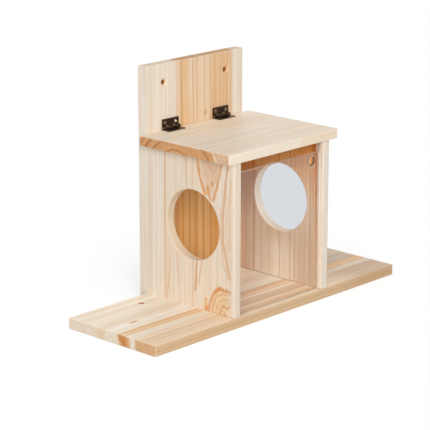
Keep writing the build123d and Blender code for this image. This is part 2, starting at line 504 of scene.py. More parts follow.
class PineBoard(NodeBench):
    """Lays the nodes of one board's pine, and keeps the outputs that its steps share."""

    seed_steps = (131.0, 17.0, 7.0)
    wander = ((Weave.SLOW, (6.0, 5.0, 0.0)), (Weave.QUICK, (1.2, 1.6, 0.0)), (Weave.RIPPLE, (0.12, 1.9, 0.0)))
    # Where each of these starts to show, and where it shows in full.
    facing = (0.45, 0.85)
    glue_line = (0.32, 0.06)
    flame_rim = (1.15, 0.7)
    ring_end = (1.0, 0.94)
    warm_zone = (0.38, 0.66)
    warm_cloud = (0.45, 0.75)
    bright_band = (0.25, 0.75)
    patch_rim = (1.3, 0.5)
    seam_step = (-0.3, 0.3)
    fleck_level = (0.69, 0.76)
    halo_rim = (2.6, 0.9)
    knot_rim = (1.05, 0.55)
    cone_rim = (1.02, 0.8)
    bore_rim = (1.3, 1.02)
    inside_step = (0.0, 0.25)
    # Heights over which the painted light and shade in the house moves to its value under the lid.
    tint_heights = (84.0, 164.0)
    edge_reach = (1.7, 0.3)
    edge_level = (0.3, 0.6)
    doorway_step = (0.25, 0.05)
    # The slope and the start of each of these straight rules.
    late_power = (-3.6, 6.8)
    ring_chance = (0.9, 0.25)
    ring_cloud = (1.1, 0.15)
    grit = (0.14, 0.93)
    fibre_light = (0.2, 0.9)
    patch_break = (1.2, 0.4)
    line_break = (0.7, 0.75)
    line_width = (0.8, 0.1)
    knot_circles = (0.15, 0.9)
    fibre_roughness = (0.16, 0.5)
    # What the wood is multiplied by in its broad bands.
    dark_band = (0.95, 0.92, 0.86)
    light_band = (1.08, 1.1, 1.13)
    # Shares and counts, and the relief's height in metres.
    knot_swell = 2.6
    knot_pull = 0.75
    knot_turns = 14.0
    ring_wobble = 0.6
    late_gain = 1.6
    streak_wander = 0.35
    edge_clouds = 0.35
    relief = 0.00014
    glue_shade = (176, 132, 92)
    fleck_shade = (186, 138, 92)
    halo_shade = (222, 172, 120)
    # The paler colour of the edges: sanding wear and a painted highlight.
    worn_and_highlight_shade = (240, 228, 212)

    def __init__(self, tree: bpy.types.NodeTree, finish: PineFinish, low: Vector, high: Vector) -> None:
        """Read the place on the board, the way it faces, and the fibres.

        Args:
            tree: The material's tree.
            finish: What the board looks like.
            low: Its lowest corner.
            high: Its highest corner.
        """
        super().__init__(tree)
        self.finish, self.low, self.high = finish, low, high
        self.parts = self.split(self.place())
        names = Cut.FACE.value
        self.spot = {name: self.parts[axis] for name, axis in zip(names, finish.grain.value)}
        self.along, self.across, self.depth = self.spot.values()
        self.seeded = self.vector("ADD", self.join(*self.spot.values()),
                                  tuple(finish.seed * step for step in self.seed_steps))
        normal = self.normal()
        axes = dict(zip(names, finish.grain.value))
        turned = {cut: self.math("ABSOLUTE", normal[axes[cut.value[2]]]) for cut in Cut}
        self.faces = {cut: self.rise(value, *self.facing) for cut, value in turned.items()}
        kinds = (Weave.BROAD, Weave.FINE, Weave.CLOUD)
        self.broad, self.fine, self.cloud = (self.weave(kind) for kind in kinds)
        self.flow = self.wandered()
        self.tables = self.stave_tables()
        self.colour: Socket | None = None

    def weave(self, kind: Weave, output: str = "Fac") -> Socket:
        """Read one of the wood's noises.

        Args:
            kind: Which one.
            output: Fac for one noise, Color for three.

        Returns:
            The noise, from 0 to 1.
        """
        *sizes, detail = kind.value
        stretched = self.vector("MULTIPLY", self.seeded, tuple(1 / size for size in sizes))
        return self.noise(stretched, 1.0, detail, output=output)

    def paint(self, mask: Value, shade: object) -> None:
        """Lay a shade over the wood."""
        self.colour = self.blend(mask, self.colour, shade)

    def wandered(self) -> dict[str, Socket]:
        """Wander the grain slowly, and ripple it a little.

        Returns:
            How far it moves across (X) and through (Y).
        """
        moved: object = NOWHERE
        for kind, reach in self.wander:
            step = self.vector("SUBTRACT", self.weave(kind, "Color"), (0.5, 0.5, 0.5))
            moved = self.vector("ADD", moved, self.vector("MULTIPLY", step, reach))
        return self.split(moved)

    def away(self, mark: Mark, across: Socket, grow: float = 1.0) -> Socket:
        """Measure how far a place is from a mark's middle.

        Args:
            mark: The mark.
            across: The place across the board.
            grow: How much larger than the mark its rim is taken.

        Returns:
            The distance, where 1 is the rim.
        """
        first = self.math("DIVIDE", self.minus(self.along, mark.place[0]), mark.size[0] * grow)
        return self.reach(first, self.math("DIVIDE", self.minus(across, mark.place[1]), mark.size[1] * grow))

    def stave_tables(self) -> dict[str, Socket]:
        """Pick the values of the stave that a place is on.

        Returns:
            Outputs by name: four shades, pith, rings and look, and glue, which is 1 on a glue line.
        """
        first, *others = self.finish.staves
        tables: dict[str, object] = first.table()
        edge, glue = first.edge, 0.0
        for stave in others:
            past = self.math("GREATER_THAN", self.across, edge)
            after = stave.table()
            tables = {name: self.between(past, tables[name], after[name]) for name in after}
            glue = self.most(glue, self.rise(self.gap(self.across, edge), *self.glue_line))
            edge = stave.edge
        return tables | {"glue": glue}

    def round_knots(self) -> Socket:
        """Lead the wandered grain round each knot.

        Returns:
            The place across at which the rings are read.
        """
        across = self.plus(self.across, self.flow["X"])
        for knot in self.finish.knots:
            away = self.away(knot, across, self.knot_swell)
            pull = self.math("EXPONENT", self.times(away, away, -1.0))
            across = self.plus(across, self.times(self.minus(knot.place[1], across), self.knot_pull, pull))
        return across

    def boldness(self) -> Socket:
        """Find how much bolder the rings are at the flames and on the cut ends.

        Returns:
            What is added to the lines' strength.
        """
        bold = self.times(self.faces[Cut.END], self.finish.end_gain)
        for flame in self.finish.flames:
            mask = self.rise(self.away(flame, self.across), *self.flame_rim)
            bold = self.most(bold, self.times(mask, flame.gain))
        return bold

    def grow(self, bold: Socket) -> Socket:
        """Cut through the growth rings, which stand round a leaning, bowed pith, and colour the wood by them.

        Args:
            bold: What is added to the lines' strength; it makes them wider too.

        Returns:
            The dark lines of late wood.
        """
        seed, tables = self.finish.seed, self.tables
        pith, rings, look = (self.split(tables[name]) for name in ("pith", "rings", "look"))
        way = self.minus(self.along, pith["Z"])
        side = self.minus(self.round_knots(), self.line(way, rings["X"], pith["X"]))
        bowed = self.line(self.math("POWER", self.math("ABSOLUTE", way), 4.0), rings["Y"], pith["Y"])
        sunk = self.minus(self.plus(self.depth, self.flow["Y"]), bowed)
        count = self.math("DIVIDE", self.reach(side, sunk), rings["Z"])
        wobble = self.noise_along(self.plus(count, seed * 3.7), 0.55, 2.0)
        turn = self.plus(count, self.times(wobble, self.ring_wobble))
        phase = self.math("FRACT", turn)
        sharp = self.math("POWER", phase, self.line(bold, *self.late_power))
        late = self.times(sharp, self.rise(phase, *self.ring_end), self.late_gain)
        chance = self.add("ShaderNodeTexWhiteNoise", {"W": self.plus(self.math("FLOOR", turn), seed)},
                          noise_dimensions="1D").outputs["Value"]
        zone = self.rise(self.noise_along(self.plus(turn, seed), 0.32, 1.0), *self.warm_zone)
        warm = self.times(self.plus(zone, self.rise(self.cloud, *self.warm_cloud)), look["Y"])
        warm = self.least(warm, 1.0)
        uneven = self.times(self.line(chance, *self.ring_chance), self.line(self.cloud, *self.ring_cloud))
        share = self.times(late, self.plus(look["X"], bold), uneven)
        wood = self.blend(share, self.blend(warm, tables["pale"], tables["warm"]), tables["late"])
        bands = self.between(self.rise(self.broad, *self.bright_band), self.dark_band, self.light_band)
        wood = self.vector("MULTIPLY", wood, bands)
        grit = self.times(*(self.line(self.weave(kind), *self.grit) for kind in (Weave.PORES, Weave.SAW)))
        end_wood = self.vector("SCALE", self.vector("MULTIPLY", wood, tables["end"]), grit)
        side_wood = self.vector("SCALE", wood, self.line(self.fine, *self.fibre_light))
        self.colour = self.blend(self.faces[Cut.END], side_wood, end_wood)
        self.paint(self.times(tables["glue"], 0.4), self.glue_shade)
        return late

    def clouds(self) -> None:
        """Lay the soft clouds of grain tone and of painted light and shade."""
        broken = self.line(self.broad, *self.patch_break)
        for patch in self.finish.grain_and_light_patches:
            mask = self.rise(self.away(patch, self.across), *self.patch_rim)
            self.paint(self.times(mask, patch.strength, broken), patch.shade)

    def straight_lines(self) -> None:
        """Draw the single lines and bands, which wander a little with the grain."""
        across = self.plus(self.across, self.times(self.flow["X"], self.streak_wander))
        for streak in self.finish.streaks:
            (a0, c0), (a1, c1) = streak.start, streak.finish
            slope = (c1 - c0) / (a1 - a0)
            away = self.gap(across, self.line(self.along, slope, c0 - slope * a0))
            half, soft, fade = streak.width / 2, min(streak.fade, streak.width * 0.7) / 2, streak.fade
            mask = self.times(self.rise(away, half + soft, max(half - soft, 0.0)),
                              self.rise(self.along, min(a0, a1) - fade, min(a0, a1) + fade),
                              self.rise(self.along, max(a0, a1) + fade, max(a0, a1) - fade))
            self.paint(self.times(mask, streak.strength), streak.shade)

    def bent_lines(self) -> None:
        """Draw the growth lines that bend."""
        torn = self.line(self.weave(Weave.TORN), 2.0, -1.0)
        uneven = self.weave(Weave.UNEVEN)
        broken = self.line(self.rise(self.fine, 0.3, 0.7), *self.line_break)
        for line in self.finish.lines:
            first, second, _ = line.cut.value
            point = self.join(self.line(torn, line.ragged, self.spot[first]), self.spot[second], 0.0)
            near: list[Socket] = []
            for low, high in zip(line.points, line.points[1:]):
                run = Vector((high[0] - low[0], high[1] - low[1], 0.0))
                gap = self.vector("SUBTRACT", point, (*low, 0.0))
                share = self.measure("DOT_PRODUCT", gap, tuple(run / run.length_squared))
                foot = self.vector("SCALE", tuple(run), self.least(self.most(share, 0.0), 1.0))
                near.append(self.measure("DISTANCE", gap, foot))
            half = self.line(uneven, *(line.width * share for share in self.line_width))
            mask = self.rise(self.math("DIVIDE", self.least(*near), half), 1.0 + line.soft, 1.0 - line.soft)
            self.paint(self.times(mask, line.strength, broken, self.faces[line.cut]), line.shade)

    def seams(self) -> None:
        """Colour the second strips on the narrow sides."""
        for seam in self.finish.seams:
            run = Vector((seam.finish[0] - seam.start[0], seam.finish[1] - seam.start[1])).normalized()
            gap = self.vector("SUBTRACT", self.join(self.along, self.depth, 0.0), (*seam.start, 0.0))
            side = self.rise(self.measure("DOT_PRODUCT", gap, (run.y, -run.x, 0.0)), *self.seam_step)
            self.paint(self.times(side, seam.strength, self.faces[Cut.EDGE]), seam.shade)

    def small_marks(self) -> None:
        """Add resin flecks, knots, and the painted shade on the walls of drilled holes."""
        flecks = self.rise(self.weave(Weave.FLECKS), *self.fleck_level)
        self.paint(self.times(flecks, 0.35), self.fleck_shade)
        for knot in self.finish.knots:
            away = self.away(knot, self.across)
            self.paint(self.times(self.rise(away, *self.halo_rim), 0.4), self.halo_shade)
            circles = self.line(self.math("SINE", self.times(away, self.knot_turns)), *self.knot_circles)
            self.paint(self.rise(away, *self.knot_rim), self.vector("SCALE", linear(knot.shade), circles))
        # Drilled holes: the countersink and the bore get painted shade.
        for hole in self.finish.holes:
            out = self.reach(self.along, self.across, hole.place)
            self.paint(self.rise(out, *(hole.radius * share for share in self.cone_rim)), hole.cone)
            self.paint(self.rise(out, *(hole.bore * share for share in self.bore_rim)), hole.shade)

    def paint_inside_light_and_shade(self) -> None:
        """Paint the house's light and shade on the faces that look into it, most of all under the lid."""
        mask: Value = 1.0
        for axis, low, high in zip("XYZ", INSIDE_LOW, INSIDE_HIGH):
            for gap in (self.minus(self.parts[axis], low), self.minus(high, self.parts[axis])):
                mask = self.times(mask, self.rise(gap, *self.inside_step))
        # The painted light and shade moves to its value under the lid between these heights.
        share = self.rise(self.parts["Z"], *self.tint_heights)
        tint = self.between(share, self.finish.inside, self.finish.inside_top)
        self.paint(mask, self.vector("MULTIPLY", self.colour, tint))

    def worn_and_highlight_edges(self) -> Socket:
        """Find the edges, the board's own and its doorway's rim, that get sanding wear and a painted
        highlight.

        Returns:
            1 at an edge and 0 a little way from it.
        """
        gaps = [self.least(self.minus(self.parts[axis], low), self.minus(high, self.parts[axis]))
                for axis, low, high in zip("XYZ", self.low, self.high)]
        gap = self.minus(self.plus(*gaps), self.most(*gaps))
        if self.finish.doorway:
            *centre, radius = self.finish.doorway
            out = self.reach(self.along, self.across, centre)
            gap = self.least(gap, self.plus(self.gap(out, radius), self.least(*gaps)))
        worn = self.noise(self.join(*self.parts.values()), self.edge_clouds)
        return self.times(self.rise(gap, *self.edge_reach), self.rise(worn, *self.edge_level))

    def build(self) -> None:
        """Colour the wood, then lead it, its roughness and its relief to the output."""
        late = self.grow(self.boldness())
        self.clouds()
        self.straight_lines()
        self.bent_lines()
        self.seams()
        self.small_marks()
        self.paint_inside_light_and_shade()
        # Painted light and shade on the doorway's wall.
        if self.finish.rim:
            *centre, radius = self.finish.doorway
            out = self.reach(self.along, self.across, centre)
            wall = self.rise(out, *(radius + step for step in self.doorway_step))
            self.paint(self.times(wall, 0.75), self.finish.rim)
        edge = self.worn_and_highlight_edges()
        # Sanding wear and a painted highlight make the edges paler.
        self.paint(self.times(edge, 0.2), self.worn_and_highlight_shade)
        smooth = self.plus(self.times(late, 0.07), self.times(edge, 0.08))
        rough = self.minus(self.line(self.fine, *self.fibre_roughness), smooth)
        height = self.plus(self.times(self.fine, 0.55), self.times(late, 0.45))
        self.show(self.add("ShaderNodeBsdfPrincipled", {
            "Base Color": self.colour, "Roughness": self.line(self.faces[Cut.END], 0.14, rough),
            "Specular IOR Level": 0.28, "Normal": self.bump(height, 0.35, self.relief)}).outputs[0])


@dataclass(frozen=True)
class AcrylicFinish:
    """Clear acrylic sheet with a faint cool tint, light smudges and sawn edges.

    Attributes:
        name: The material's name.
        tint: Its colour through the sheet.
        edge_painted_reflection: The colour of its frosted cut edges, a painted reflection of the wood.
        hole_painted_shade: The colour of the drilled hole's wall and rim, a painted shade.
        foot_painted_light: The colour of its bottom edge, which stands on the base, a painted light.
        hole: The hole's X and Z.
        rim: Where the hole's rim starts and is full, from the hole's middle.
        refraction: Its index.
    """

    name: str
    tint: Rgb = (236, 237, 240)
    edge_painted_reflection: Rgb = (218, 184, 158)
    hole_painted_shade: Rgb = (138, 104, 84)
    foot_painted_light: Rgb = (255, 240, 222)
    hole: tuple[float, float] = (48.3, 144.7)
    rim: tuple[float, float] = (6.0, 5.5)
    refraction: float = 1.49

    def material(self) -> bpy.types.Material:
        """Build the material.

        Returns:
            The finished material, which lets light through to what stands behind it.
        """
        material = new_material(self.name)
        bench = NodeBench(material.node_tree)
        place, normal = bench.place(), bench.normal()
        parts = bench.split(place)
        ring = bench.rise(bench.reach(parts["X"], parts["Z"], self.hole), *self.rim)
        edge = bench.most(bench.rise(bench.math("ABSOLUTE", normal["Y"]), 0.98, 0.85), bench.times(ring, 0.8))
        # The cut edges show a painted reflection of the wood, the hole's wall a painted shade, the foot a
        # painted light.
        wall = bench.blend(ring, self.edge_painted_reflection, self.hole_painted_shade)
        wall = bench.blend(bench.rise(normal["Z"], -0.5, -0.9), wall, self.foot_painted_light)
        smudge = bench.rise(bench.noise(place, 0.035, 3.0, 0.6), 0.5, 0.8)
        wipes = bench.noise(bench.vector("MULTIPLY", place, (0.05, 0.05, 0.6)), 1.0, 3.0)
        haze = bench.line(bench.times(smudge, bench.rise(wipes, 0.4, 0.8)), 0.05, 0.004)
        scratches = bench.noise(bench.vector("MULTIPLY", place, (0.08, 1.0, 5.0)), 1.0)
        sheet = bench.add("ShaderNodeBsdfPrincipled", {
            "Base Color": bench.blend(edge, self.tint, wall), "Roughness": bench.line(edge, 0.6, haze),
            "IOR": self.refraction, "Transmission Weight": bench.line(edge, -0.85, 1.0),
            "Normal": bench.bump(scratches, 0.05, 0.00002)})
        clear = bench.add("ShaderNodeBsdfTransparent", {"Color": (1.0, 1.0, 1.0, 1.0)})
        shadow = bench.add("ShaderNodeLightPath").outputs["Is Shadow Ray"]
        bench.show(bench.mix_shaders(shadow, sheet, clear))
        return material


@dataclass(frozen=True)
class MetalFinish:
    """Plated metal with a mottled patina, worn brighter at its edges.

    Attributes:
        name: The material's name.
        base: The plating.
        patina: The darker clouds on it.
        cool: A second, cooler cloud.
        worn: The metal that shows at edges.
        roughness: Of the plating.
        wear: How much of the edges is worn.
    """

    name: str
    base: Rgb
    patina: Rgb
    cool: Rgb
    worn: Rgb
    roughness: float
    wear: float

    def material(self) -> bpy.types.Material:
        """Build the material.

        Returns:
            The finished material.
        """
        material = new_material(self.name)
        bench = NodeBench(material.node_tree)
        place = bench.place()
        clouds = bench.noise(place, 0.45, 4.0, 0.4)
        other = bench.noise(bench.vector("ADD", place, (31.0, 7.0, 13.0)), 0.28, 3.0)
        colour = bench.blend(bench.rise(clouds, 0.4, 0.65), self.base, self.patina)
        colour = bench.blend(bench.times(bench.rise(other, 0.52, 0.72), 0.7), colour, self.cool)
        bevel = bench.add("ShaderNodeBevel", {"Radius": 0.0006}, samples=6)
        normal = bench.add("ShaderNodeNewGeometry").outputs["Normal"]
        lean = bench.measure("DOT_PRODUCT", bevel.outputs[0], normal)
        rubbed = bench.rise(bench.noise(place, 1.6, 3.0), 0.34, 0.62)
        edge = bench.times(bench.rise(lean, 0.985, 0.86), rubbed, self.wear)
        height = bench.plus(bench.times(bench.noise(place, 5.5, 3.0), 0.6), bench.times(clouds, 0.4))
        rough = bench.minus(bench.line(clouds, 0.22, self.roughness - 0.1), bench.times(edge, 0.1))
        bench.show(bench.add("ShaderNodeBsdfPrincipled", {
            "Base Color": bench.blend(edge, colour, self.worn), "Metallic": 1.0, "Roughness": rough,
            "Normal": bench.bump(height, 0.4, 0.00005)}).outputs[0])
        return material


CREAM = (233, 220, 204)
PALE = (231, 216, 199)
STRAW = (230, 207, 180)
PALE_END = (246, 240, 232)
ORANGE = (216, 152, 92)
DEEP_ORANGE = (220, 142, 70)


def streaks(low: float, high: float, *rows: tuple) -> tuple[Streak, ...]:
    """Lay straight streaks over one length of a board.

    Args:
        low: Where they start along the board.
        high: Where they end along it.
        rows: For each, its place across at either end, width, shade, strength and perhaps fade.

    Returns:
        The streaks.
    """
    return tuple(Streak((low, row[0]), (high, row[1]), *row[2:]) for row in rows)


def bent(cut: Cut, *rows: tuple) -> tuple[GrainLine, ...]:
    """Lay bent lines on one side of a board.

    Args:
        cut: The side.
        rows: For each, its points' numbers in one row, width, shade, strength, and perhaps soft and ragged.

    Returns:
        The lines.
    """
    return tuple(GrainLine(tuple(zip(row[0][::2], row[0][1::2])), *row[1:], cut=cut) for row in rows)


def back_board_finish() -> PineFinish:
    """The tall board: a pale stave, a wide orange one and a narrow pale one.

    Returns:
        Its finish.
    """
    return PineFinish(
        name="pine_back_board",
        grain=Grain.STANDING_BACK,
        seed=1.3,
        staves=(
            Stave(-27.4, (CREAM, PALE, (222, 194, 160), PALE_END),
                  (-190, 20, 120), (0.01, 0, 4.6), (0.4, 0.35)),
            Stave(54.4, (STRAW, (228, 190, 144), (202, 146, 90), (214, 190, 160)),
                  (120, 70, 120), (0.012, 0, 3.4), (0.7, 0.6)),
            Stave(69, (CREAM, PALE, (222, 194, 162), PALE_END), (240, 30, 120), (0, 0, 4.2), (0.4, 0.3)),
        ),
        # Painted light and shade in the house: darker and orange, most of all under the lid.
        inside=(0.97, 0.78, 0.47),
        inside_top=(0.88, 0.57, 0.26),
        streaks=(
            *streaks(0, 240,
                     (36, 36, 24, (224, 178, 124), 0.5, 6), (9, 8, 9, (233, 208, 178), 0.4, 6),
                     (-17.6, -20.5, 2.4, (210, 154, 96), 0.75), (-24, -24, 5, (232, 204, 170), 0.5),
                     (-12, -12.2, 1.4, (214, 166, 116), 0.45), (-1, -3.6, 1.5, (208, 150, 94), 0.65)),
            *streaks(0, 130,
                     (-8.6, -8.8, 1.6, (196, 136, 82), 0.8), (1.6, 1.6, 1.5, (196, 136, 82), 0.8),
                     (11.4, 11, 1.6, (200, 140, 86), 0.75), (21.6, 21.6, 1.6, (198, 138, 84), 0.7),
                     (-27, -27, 8, (206, 152, 102), 0.6)),
            *streaks(130, 210, (6, 2, 1.2, (214, 168, 120), 0.35)),
            *streaks(0, 240,
                     (12.4, 13.4, 1, (214, 164, 114), 0.35), (21.4, 21.3, 1.4, (210, 156, 102), 0.5),
                     (29.6, 27.7, 2, (212, 158, 102), 0.45), (41.8, 41.1, 1.4, (212, 156, 100), 0.5),
                     (51.5, 51.4, 2.2, (214, 164, 110), 0.5), (-41, -41, 1.2, (226, 200, 168), 0.35),
                     (-49, -49, 1.6, (226, 200, 168), 0.3), (-34, -33.8, 1.2, (226, 200, 168), 0.3)),
            *streaks(130, 240,
                     (36.3, 36.3, 1.2, (214, 160, 104), 0.45), (46.1, 45.9, 1.4, (210, 156, 100), 0.5)),
        ),
        knots=(Knot((181.6, 14.4), (2.6, 1.1), (206, 158, 110)),),
        # The holes' bores get painted shade.
        holes=(DrilledHole((221, -44), 4.25, (232, 208, 178), (176, 112, 58)),
               DrilledHole((221, 44), 4.25, (224, 184, 136), (176, 112, 58))),
    )


def left_side_finish() -> PineFinish:
    """The left side board: a flat-sawn stave in front, straighter ones behind.

    Returns:
        Its finish.
    """
    return PineFinish(
        name="pine_left_side",
        grain=Grain.STANDING_SIDE,
        seed=2.1,
        doorway=(93.8, -8.5, 35.0),
        # The doorway's wall gets painted shade: warmer and darker than the face.
        rim=(230, 206, 176),
        staves=(
            Stave(-9, (PALE, (236, 216, 188), (222, 178, 134), PALE_END),
                  (-40.8, -46, 85), (0.141, -2.97e-7, 2.7), (0.2, 0.3)),
            Stave(29.2, (PALE, STRAW, (218, 178, 138), PALE_END),
                  (150, -90, 85), (0.03, 0, 5.6), (0.4, 0.35)),
            Stave(54, (CREAM, PALE, (222, 186, 152), PALE_END), (-150, -100, 85), (0, 0, 6.4), (0.4, 0.3)),
        ),
        streaks=(
            *streaks(11, 163, (29.2, 29, 1.8, (222, 172, 124), 0.7), (48, 48, 1.4, (226, 194, 160), 0.4)),
            *streaks(163, 130, (0.4, 0.6, 1.5, (216, 172, 136), 0.65, 3)),
            *streaks(163, 131, (-10.1, -10, 1.5, (222, 188, 156), 0.6, 3)),
        ),
        lines=bent(
            Cut.FACE,
            # Painted shade where the board stands on the base.
            ((11.2, -64, 11.2, -30), 0.9, (160, 108, 66), 0.7, 0.6, 0),
            ((163, -15, 153, -15.8, 144, -18.1, 137, -20.9, 128.6, -24.3), 3.2, ORANGE, 0.85),
            ((128.2, -24.8, 129.3, -28.2, 132, -29.2), 3.6, (232, 170, 100), 0.75),
            ((135, -28.4, 128.7, -30.2, 124, -31.6), 3, ORANGE, 0.7),
            ((163, -46.6, 156.4, -44.9, 146.6, -43.1, 137.9, -40.7, 130.2, -38.2, 124, -35.8), 3,
             ORANGE, 0.8),
            ((159, -41.4, 151.2, -41, 145.8, -38.9, 141.5, -37.7), 2.6, (222, 182, 146), 0.7),
            ((157, -29.8, 153, -32, 151, -35.5, 152.5, -38.2, 158, -39.8), 2, (212, 166, 132), 0.65),
            ((163, -55.2, 148.7, -52.7, 137, -51, 123, -49.7, 110, -48.6, 84, -49, 70, -51.4, 61, -54.4,
              55, -57, 50, -57.6), 2.4, (216, 170, 130), 0.85, 0.9, 2),
            ((118, -45.6, 92, -45.8, 72, -47.4, 60, -50.2, 52, -54.6, 49, -57.4), 2, (222, 184, 148), 0.75),
            ((146, -58.4, 129, -57, 112, -56.4, 78, -57), 3.4, (226, 192, 160), 0.7),
            ((120, -52.8, 100, -52.2, 80, -53.2, 66, -56), 1.6, (226, 192, 158), 0.6),
            ((10, -29.8, 18.5, -30.6, 24.4, -33.1, 29, -35.6, 34, -39.4, 36.8, -43, 36.8, -47.3, 35.8, -49.2,
              37.4, -52, 36.2, -57.5), 2.7, ORANGE, 0.95),
            ((33, -38.6, 36.6, -42.6, 36.8, -45.6), 3.2, DEEP_ORANGE, 0.7),
            ((10, -38.6, 17, -40.6, 23.6, -43.6, 27.6, -48.4, 28.4, -57.5), 1.7, (220, 172, 122), 0.75),
            ((10, -41.4, 17.4, -43.8, 24.4, -49, 24.6, -57.5), 1.3, (222, 178, 132), 0.6),
            ((10, -33.4, 20, -34.6, 27, -38), 5, (230, 190, 148), 0.6),
            ((10, -34.4, 19, -36.2, 24.3, -37.8, 28.6, -40.2, 31.4, -45.5, 33.6, -53, 33, -57.5), 1.5,
             (218, 168, 122), 0.75),
            ((10, -43.9, 14.7, -45.2, 18.4, -47.3, 21.2, -50, 20.2, -52.1, 19, -54.2, 21.3, -57), 1.9,
             (214, 154, 100), 0.85),
            ((15.6, -49.5, 14, -51, 10.5, -53.2), 1.7, (218, 168, 120), 0.7),
            ((24, -26, 10, -26.2), 2.6, (228, 170, 104), 0.85),
            ((15, -26.6, 10, -26.8), 3.6, DEEP_ORANGE, 0.85),
            ((59, -14, 50, -13.4, 42, -12.9, 30, -11.8), 2.2, (210, 156, 104), 0.95),
            ((60, -20.8, 52, -19.2, 45.5, -18.2, 36, -16.8), 2.4, (222, 182, 146), 0.65),
            ((58, -9.2, 38, -8.5, 16.7, -7.8, 10, -7.6), 1.1, (224, 186, 148), 0.65),
            ((62, 13.2, 46, 12, 33, 11), 1.4, (216, 168, 122), 0.7),
            ((55, 21.6, 36, 24, 12, 27.2), 1.4, (220, 176, 132), 0.6),
        ),
        grain_and_light_patches=(
            Patch((155, -30), (18, 12), (222, 188, 156), 0.95),
            Patch((137, -31), (11, 6), (226, 192, 158), 0.9),
            Patch((139.6, -34.6), (3, 2.2), (206, 156, 116), 0.8),
            Patch((22, -46), (17, 12), (236, 204, 160), 0.8),
        ),
        flames=(Flame((148, -30), (34, 16), 0.12), Flame((20, -46), (20, 16), 0.12)),
    )


def right_side_finish() -> PineFinish:
    """The right side board, of which the inner face shows through the window.

    Returns:
        Its finish.
    """
    return PineFinish(
        name="pine_right_side",
        grain=Grain.STANDING_SIDE,
        seed=3.4,
        doorway=(96.5, -6.1, 35.0),
        # The doorway's wall gets painted light: paler than the face.
        rim=(250, 236, 210),
        staves=(
            Stave(-6.1, (PALE, (230, 202, 170), (210, 164, 120), PALE_END),
                  (-130, 120, 90), (0.02, 0, 4.2), (0.6, 0.5)),
            Stave(54, (STRAW, (226, 194, 156), (206, 154, 108), PALE_END),
                  (160, 100, 90), (0.01, 0, 4.6), (0.7, 0.6)),
        ),
        # Painted shade in the house: darker, and deep orange under the lid.
        inside=(0.8, 0.72, 0.59),
        inside_top=(0.86, 0.47, 0.16),
        streaks=(
            *streaks(11, 163,
                     (29.5, 29.5, 3.2, (200, 138, 84), 0.65), (40, 40, 1.6, (204, 148, 98), 0.5),
                     (35.6, 35, 1.2, (204, 148, 98), 0.4), (13, 13, 22, (228, 206, 180), 0.4),
                     (19, 18.6, 1.2, (212, 164, 120), 0.5), (9, 8.6, 1, (212, 164, 120), 0.45),
                     (-6.1, -6.1, 1.1, (176, 118, 72), 0.6), (-13, -13, 9, (230, 210, 188), 0.4),
                     (-20, -20, 1.8, (202, 152, 106), 0.6), (-26, -26, 1.6, (204, 156, 110), 0.55),
                     (-33, -33, 1.2, (208, 162, 118), 0.45), (-49.4, -49.4, 3, (212, 160, 112), 0.5, 2),
                     (-39.5, -39.5, 1.2, (206, 158, 112), 0.45)),
            *streaks(11, 136, (-46, -46, 2.2, (186, 124, 74), 0.5)),
            *streaks(11, 90, (-54, -53.6, 2.4, (208, 158, 108), 0.5, 1.5)),
            # Painted shade along the window's groove.
            *streaks(11, 163, (-56.4, -56.4, 3.4, (180, 116, 62), 0.8, 1)),
        ),
        lines=(
            *bent(Cut.EDGE, ((10, 64, 164, 64), 10, (246, 238, 228), 0.5, 0.6, 0)),
            *bent(Cut.FACE,
                  # Painted shade where the board stands on the base.
                  ((11.3, -64, 11.3, 54), 1, (146, 92, 54), 0.8, 0.6, 0),
                  ((44, -57, 110, -53.8, 164, -51.8), 3.4, (196, 132, 76), 0.8, 0.7, 0)),
        ),
        grain_and_light_patches=(
            # Painted light and shade on the inner face: paler low down and behind the pull hole, darker low
            # at the front and high at the back.
            Patch((141, -47.4), (8, 5.4), (252, 244, 240), 1),
            Patch((62, 24), (34, 13), (252, 232, 206), 0.7),
            Patch((24, 46), (44, 12), (240, 198, 156), 0.6),
            Patch((22, 2), (32, 32), (255, 244, 230), 1),
            Patch((30, -38), (50, 15), (204, 166, 122), 0.4),
            Patch((118, 42), (44, 16), (208, 150, 98), 0.4),
        ),
    )


